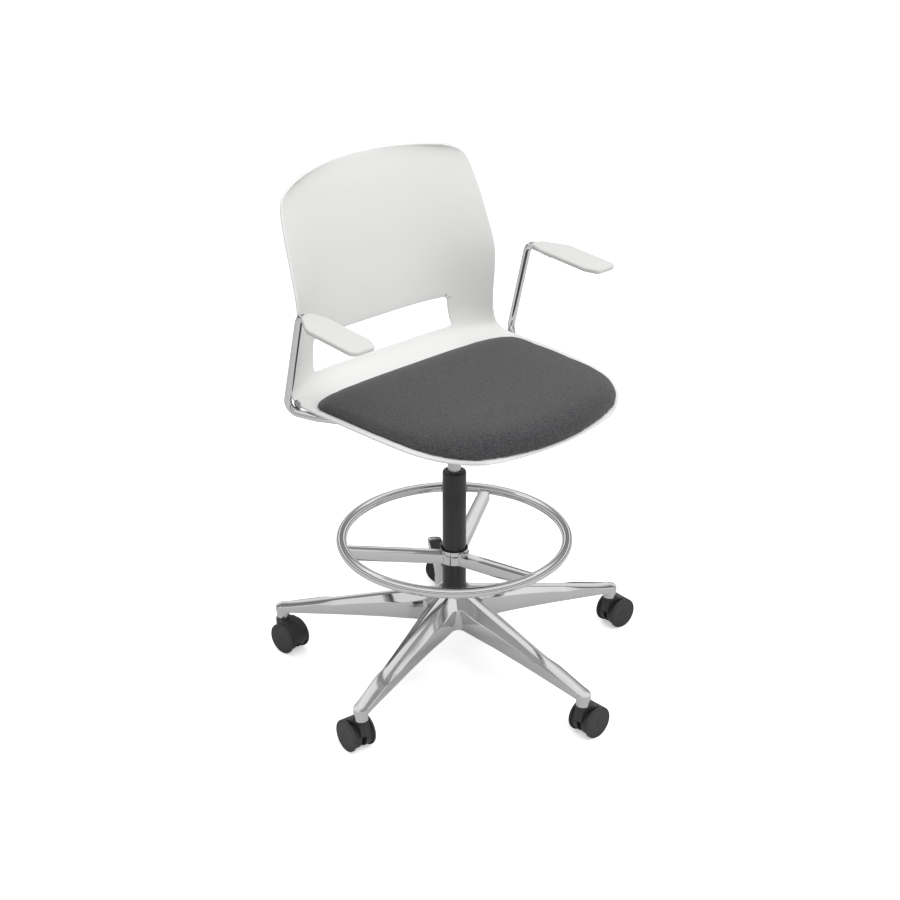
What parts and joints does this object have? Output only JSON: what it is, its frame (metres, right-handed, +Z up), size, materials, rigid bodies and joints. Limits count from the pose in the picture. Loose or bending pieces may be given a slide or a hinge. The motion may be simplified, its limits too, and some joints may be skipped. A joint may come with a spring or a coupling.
{
  "type": "drafting chair",
  "caption": "Tall drafting chair with a white moulded shell and lumbar slot, dark seat pad, bent-tube arms, gas lift, sliding chrome foot ring and a polished star base on twin-wheel casters.",
  "frame": {"origin": "on the column axis, at the floor under the casters", "axes": "+Z up, the chair faces -Y, and +X is the sitter's left"},
  "size_m": [0.8142, 0.7461, 1.087],
  "materials": {
    "shell": "semi-gloss moulded plastic, off white",
    "cushion_fabric": "fine plain weave, dark grey",
    "plywood": "sealed plywood",
    "arm_chrome": "bright chrome",
    "pad_plastic": "soft matt moulding, off white",
    "screw_steel": "plain zinc",
    "black_steel": "fine black powder coat",
    "black_plastic": "matt black moulding",
    "lift_steel": "ground and plated",
    "column_paint": "satin black paint",
    "ring_chrome": "bright chrome",
    "polished_aluminium": "polished",
    "caster_plastic": "satin black moulding",
    "wheel_plastic": "hard black nylon"
  },
  "bodies": {
    "base": {"star_base": "polished_aluminium", "socket_sleeves": "screw_steel", "column_tube": "column_paint", "guide_bush": "black_plastic", "piston_rod": "lift_steel", "thrust_bearing": "screw_steel", "retaining_clip": "screw_steel"},
    "lift": {"gas_cylinder": "lift_steel"},
    "valve": {"valve_button": "screw_steel"},
    "seat": {"seat_shell": "shell", "seat_cushion": "cushion_fabric", "cushion_board": "plywood", "arm_tube_left": "arm_chrome", "arm_tube_right": "arm_chrome", "arm_pad_left": "pad_plastic", "arm_pad_right": "pad_plastic", "arm_screws": "screw_steel", "pad_screws": "screw_steel", "tube_saddles": "black_steel", "saddle_screws": "screw_steel", "seat_plate": "black_steel", "plate_spacers": "black_plastic", "plate_screws": "screw_steel", "mechanism_housing": "black_steel", "lever_pin": "screw_steel"},
    "lever": {"release_lever": "black_steel", "lever_paddle": "black_plastic"},
    "ring_carriage": {"ring_liner": "black_plastic"},
    "foot_ring": {"ring_tube": "ring_chrome", "ring_hub": "polished_aluminium", "ring_set_screw": "screw_steel"},
    "caster_1": {"caster_1_hood": "caster_plastic", "caster_1_stem": "screw_steel", "caster_1_axle": "screw_steel"},
    "wheel_1_left": {"caster_1_wheel_left": "wheel_plastic"},
    "wheel_1_right": {"caster_1_wheel_right": "wheel_plastic"},
    "caster_2": {"caster_2_hood": "caster_plastic", "caster_2_stem": "screw_steel", "caster_2_axle": "screw_steel"},
    "wheel_2_left": {"caster_2_wheel_left": "wheel_plastic"},
    "wheel_2_right": {"caster_2_wheel_right": "wheel_plastic"},
    "caster_3": {"caster_3_hood": "caster_plastic", "caster_3_stem": "screw_steel", "caster_3_axle": "screw_steel"},
    "wheel_3_left": {"caster_3_wheel_left": "wheel_plastic"},
    "wheel_3_right": {"caster_3_wheel_right": "wheel_plastic"},
    "caster_4": {"caster_4_hood": "caster_plastic", "caster_4_stem": "screw_steel", "caster_4_axle": "screw_steel"},
    "wheel_4_left": {"caster_4_wheel_left": "wheel_plastic"},
    "wheel_4_right": {"caster_4_wheel_right": "wheel_plastic"},
    "caster_5": {"caster_5_hood": "caster_plastic", "caster_5_stem": "screw_steel", "caster_5_axle": "screw_steel"},
    "wheel_5_left": {"caster_5_wheel_left": "wheel_plastic"},
    "wheel_5_right": {"caster_5_wheel_right": "wheel_plastic"}
  },
  "joints": [
    {"name": "height_slide", "type": "slide", "parent": "base", "child": "lift", "axis": [0, 0, 1], "range_m": [-0.08, 0.17]},
    {"name": "seat_swivel", "type": "hinge", "parent": "lift", "child": "seat", "pos_m": [0, 0, 0.59], "axis": [0, 0, 1], "continuous": true},
    {"name": "release_lever_pivot", "type": "hinge", "parent": "seat", "child": "lever", "pos_m": [0.025, 0, 0.6073], "axis": [0, -1, 0], "range_deg": [0, 8], "stiffness_Nm_per_rad": 1.5, "springref_deg": -14.32},
    {"name": "valve_slide", "type": "slide", "parent": "lift", "child": "valve", "axis": [0, 0, -1], "range_m": [0, 0.0036], "stiffness_N_per_m": 800, "springref_m": -0.002},
    {"name": "ring_height", "type": "slide", "parent": "base", "child": "ring_carriage", "axis": [0, 0, 1], "range_m": [-0.06, 0.15]},
    {"name": "ring_turn", "type": "hinge", "parent": "ring_carriage", "child": "foot_ring", "pos_m": [0, 0, 0.2735], "axis": [0, 0, 1], "continuous": true},
    {"name": "caster_1_swivel", "type": "hinge", "parent": "base", "child": "caster_1", "pos_m": [-0.22571, 0.31066, 0.085], "axis": [0, 0, 1], "continuous": true},
    {"name": "wheel_1_left_roll", "type": "hinge", "parent": "caster_1", "child": "wheel_1_left", "pos_m": [-0.22431, 0.29071, 0.0345], "axis": [0.9976, 0.0698, 0], "continuous": true},
    {"name": "wheel_1_right_roll", "type": "hinge", "parent": "caster_1", "child": "wheel_1_right", "pos_m": [-0.22431, 0.29071, 0.0345], "axis": [0.9976, 0.0698, 0], "continuous": true},
    {"name": "caster_2_swivel", "type": "hinge", "parent": "base", "child": "caster_2", "pos_m": [-0.36521, -0.11866, 0.085], "axis": [0, 0, 1], "continuous": true},
    {"name": "wheel_2_left_roll", "type": "hinge", "parent": "caster_2", "child": "wheel_2_left", "pos_m": [-0.36312, -0.09877, 0.0345], "axis": [-0.9945, 0.1045, 0], "continuous": true},
    {"name": "wheel_2_right_roll", "type": "hinge", "parent": "caster_2", "child": "wheel_2_right", "pos_m": [-0.36312, -0.09877, 0.0345], "axis": [-0.9945, 0.1045, 0], "continuous": true},
    {"name": "caster_3_swivel", "type": "hinge", "parent": "base", "child": "caster_3", "pos_m": [0, -0.384, 0.085], "axis": [0, 0, 1], "continuous": true},
    {"name": "wheel_3_left_roll", "type": "hinge", "parent": "caster_3", "child": "wheel_3_left", "pos_m": [0.02, -0.384, 0.0345], "axis": [0, 1, 0], "continuous": true},
    {"name": "wheel_3_right_roll", "type": "hinge", "parent": "caster_3", "child": "wheel_3_right", "pos_m": [0.02, -0.384, 0.0345], "axis": [0, 1, 0], "continuous": true},
    {"name": "caster_4_swivel", "type": "hinge", "parent": "base", "child": "caster_4", "pos_m": [0.36521, -0.11866, 0.085], "axis": [0, 0, 1], "continuous": true},
    {"name": "wheel_4_left_roll", "type": "hinge", "parent": "caster_4", "child": "wheel_4_left", "pos_m": [0.38516, -0.12006, 0.0345], "axis": [0.0698, 0.9976, 0], "continuous": true},
    {"name": "wheel_4_right_roll", "type": "hinge", "parent": "caster_4", "child": "wheel_4_right", "pos_m": [0.38516, -0.12006, 0.0345], "axis": [0.0698, 0.9976, 0], "continuous": true},
    {"name": "caster_5_swivel", "type": "hinge", "parent": "base", "child": "caster_5", "pos_m": [0.22571, 0.31066, 0.085], "axis": [0, 0, 1], "continuous": true},
    {"name": "wheel_5_left_roll", "type": "hinge", "parent": "caster_5", "child": "wheel_5_left", "pos_m": [0.23571, 0.29334, 0.0345], "axis": [0.866, 0.5, 0], "continuous": true},
    {"name": "wheel_5_right_roll", "type": "hinge", "parent": "caster_5", "child": "wheel_5_right", "pos_m": [0.23571, 0.29334, 0.0345], "axis": [0.866, 0.5, 0], "continuous": true}
  ],
  "couplings": [
    {"joint": "valve_slide", "follows": "release_lever_pivot", "m_per_rad": 0.025}
  ]
}
